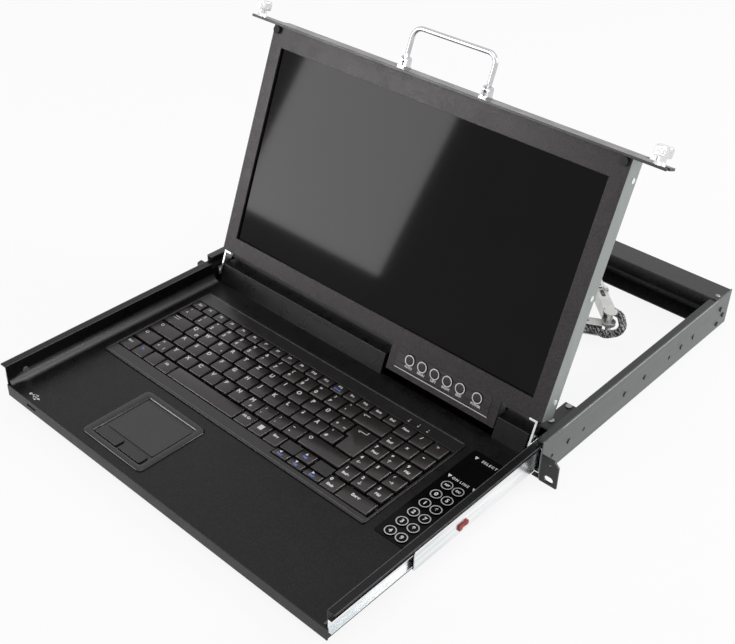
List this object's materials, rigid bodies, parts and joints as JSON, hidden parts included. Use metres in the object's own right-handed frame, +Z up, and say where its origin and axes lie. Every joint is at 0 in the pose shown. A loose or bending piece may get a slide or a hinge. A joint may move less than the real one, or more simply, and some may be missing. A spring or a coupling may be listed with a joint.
{
  "type": "rackmount lcd console drawer",
  "caption": "One-unit rack drawer that slides out with a fold-up LCD screen, a keyboard with touchpad and a port switching panel.",
  "frame": {"origin": "midway between the two rack fixing slots, on the front face of the rack ears", "axes": "+X to the right seen from the user, +Y to the back of the rack, +Z up; the drawer stands pulled out with the screen open"},
  "size_m": [0.4826, 0.6062, 0.3166],
  "materials": {
    "black_powder_coat": "fine textured black powder coat",
    "zinc_sheet": "grey-green zinc plated sheet steel",
    "bright_zinc": "bright zinc plated steel",
    "bezel_paint": "warm dark grey fine texture paint",
    "ball_steel": "polished bearing steel",
    "lever_red": "red-orange moulded plastic",
    "key_plastic": "dark warm grey moulded ABS",
    "frame_plastic": "black moulded plastic",
    "panel_gloss": "glossy black film over plastic",
    "screen_glass": "dark glossy cover glass",
    "board_green": "glass fibre board with parts",
    "label_grey": "brushed grey label plate",
    "chrome_rod": "polished chrome plate",
    "rubber_black": "soft black rubber",
    "cable_braid": "black braided sleeve",
    "connector": "moulded connector body"
  },
  "bodies": {
    "chassis": {"left_chassis_side": "zinc_sheet", "right_chassis_side": "zinc_sheet", "left_rack_ear": "black_powder_coat", "right_rack_ear": "black_powder_coat", "rear_channel": "black_powder_coat", "left_outer_slide": "bright_zinc", "right_outer_slide": "bright_zinc", "chassis_rivets": "bright_zinc", "arm_rear_bracket": "bright_zinc", "rear_socket": "connector", "cable_tail": "cable_braid"},
    "middle_slides": {"left_middle_slide": "bright_zinc", "right_middle_slide": "bright_zinc", "ball_cages": "ball_steel"},
    "slide_levers": {"slide_levers": "lever_red"},
    "tray": {"tray_pan": "black_powder_coat", "deck_plate": "black_powder_coat", "rear_cover": "black_powder_coat", "left_hinge_cover": "black_powder_coat", "right_hinge_cover": "black_powder_coat", "left_inner_slide": "bright_zinc", "right_inner_slide": "bright_zinc", "switch_board": "board_green", "usb_socket": "frame_plastic", "keyboard_frame": "frame_plastic", "key_switch_plate": "frame_plastic", "touchpad_bezel": "frame_plastic", "touchpad": "frame_plastic", "port_panel": "panel_gloss", "hinge_brackets": "bright_zinc", "tray_screws": "bright_zinc", "arm_tray_bracket": "bright_zinc"},
    "function_keys": {"function_keys": "key_plastic"},
    "typing_keys": {"typing_keys": "key_plastic"},
    "space_bar": {"space_bar": "key_plastic"},
    "arrow_keys": {"arrow_keys": "key_plastic"},
    "keypad_keys": {"keypad_keys": "key_plastic"},
    "left_pad_button": {"left_pad_button": "frame_plastic"},
    "right_pad_button": {"right_pad_button": "frame_plastic"},
    "port_buttons": {"port_buttons": "panel_gloss"},
    "display": {"lcd_bezel": "bezel_paint", "lcd_housing": "zinc_sheet", "lcd_panel": "screen_glass", "display_board": "board_green", "osd_panel": "label_grey", "front_panel": "black_powder_coat", "handle_brackets": "chrome_rod", "bezel_bumpers": "rubber_black", "hinge_arms": "bright_zinc", "display_screws": "bright_zinc"},
    "osd_buttons": {"osd_buttons": "frame_plastic"},
    "power_button": {"power_button": "frame_plastic"},
    "handle": {"handle": "chrome_rod"},
    "left_thumbscrew": {"left_thumbscrew": "bright_zinc"},
    "right_thumbscrew": {"right_thumbscrew": "bright_zinc"},
    "rear_arm": {"rear_arm": "bright_zinc", "rear_cable": "cable_braid", "cable_loop": "cable_braid"},
    "front_arm": {"front_arm": "bright_zinc", "front_cable": "cable_braid"}
  },
  "joints": [
    {"name": "tray_slide", "type": "slide", "parent": "chassis", "child": "tray", "axis": [0, 1, 0], "range_m": [0, 0.2616]},
    {"name": "middle_slide", "type": "slide", "parent": "chassis", "child": "middle_slides", "axis": [0, 1, 0], "range_m": [0, 0.1686]},
    {"name": "slide_lever_hinge", "type": "hinge", "parent": "middle_slides", "child": "slide_levers", "pos_m": [0, -0.1015, 0.0115], "axis": [1, 0, 0], "range_deg": [-8, 8], "stiffness_Nm_per_rad": 0.2},
    {"name": "display_hinge", "type": "hinge", "parent": "tray", "child": "display", "pos_m": [0, 0.008, 0.0191], "axis": [1, 0, 0], "range_deg": [-10, 110.4]},
    {"name": "function_key_press", "type": "slide", "parent": "tray", "child": "function_keys", "axis": [0, 0, -1], "range_m": [0, 0.002], "stiffness_N_per_m": 400},
    {"name": "typing_key_press", "type": "slide", "parent": "tray", "child": "typing_keys", "axis": [0, 0, -1], "range_m": [0, 0.002], "stiffness_N_per_m": 400},
    {"name": "space_bar_press", "type": "slide", "parent": "tray", "child": "space_bar", "axis": [0, 0, -1], "range_m": [0, 0.002], "stiffness_N_per_m": 400},
    {"name": "arrow_key_press", "type": "slide", "parent": "tray", "child": "arrow_keys", "axis": [0, 0, -1], "range_m": [0, 0.002], "stiffness_N_per_m": 400},
    {"name": "keypad_press", "type": "slide", "parent": "tray", "child": "keypad_keys", "axis": [0, 0, -1], "range_m": [0, 0.002], "stiffness_N_per_m": 400},
    {"name": "left_pad_press", "type": "slide", "parent": "tray", "child": "left_pad_button", "axis": [0, 0, -1], "range_m": [0, 0.001], "stiffness_N_per_m": 400},
    {"name": "right_pad_press", "type": "slide", "parent": "tray", "child": "right_pad_button", "axis": [0, 0, -1], "range_m": [0, 0.001], "stiffness_N_per_m": 400},
    {"name": "port_button_press", "type": "slide", "parent": "tray", "child": "port_buttons", "axis": [0, 0, -1], "range_m": [0, 0.001], "stiffness_N_per_m": 400},
    {"name": "osd_button_press", "type": "slide", "parent": "display", "child": "osd_buttons", "axis": [0, 0.9373, -0.3486], "range_m": [0, 0.0008], "stiffness_N_per_m": 400},
    {"name": "power_button_press", "type": "slide", "parent": "display", "child": "power_button", "axis": [0, 0.9373, -0.3486], "range_m": [0, 0.0008], "stiffness_N_per_m": 400},
    {"name": "handle_hinge", "type": "hinge", "parent": "display", "child": "handle", "pos_m": [0, 0.11326, 0.27805], "axis": [1, 0, 0], "range_deg": [0, 90]},
    {"name": "left_thumbscrew_turn", "type": "hinge", "parent": "display", "child": "left_thumbscrew", "pos_m": [-0.23255, 0.09911, 0.27328], "axis": [0, 0.3486, 0.9373], "continuous": true},
    {"name": "right_thumbscrew_turn", "type": "hinge", "parent": "display", "child": "right_thumbscrew", "pos_m": [0.23255, 0.09911, 0.27328], "axis": [0, 0.3486, 0.9373], "continuous": true},
    {"name": "rear_arm_hinge", "type": "hinge", "parent": "chassis", "child": "rear_arm", "pos_m": [0.0383, 0.3285, 0.022], "axis": [0, 0, 1], "range_deg": [-0.5, 34.5], "deforming": ["cable_tail"]},
    {"name": "elbow_hinge", "type": "hinge", "parent": "rear_arm", "child": "front_arm", "pos_m": [0.14775, 0.22739, 0.0143], "axis": [0, 0, 1], "range_deg": [-66.5, 0.5], "deforming": ["cable_loop"]}
  ],
  "couplings": [
    {"joint": "middle_slide", "follows": "tray_slide", "ratio": 0.64411},
    {"joint": "rear_arm_hinge", "follows": "tray_slide", "rad_per_m": 2.2518},
    {"joint": "elbow_hinge", "follows": "tray_slide", "rad_per_m": -4.395}
  ]
}
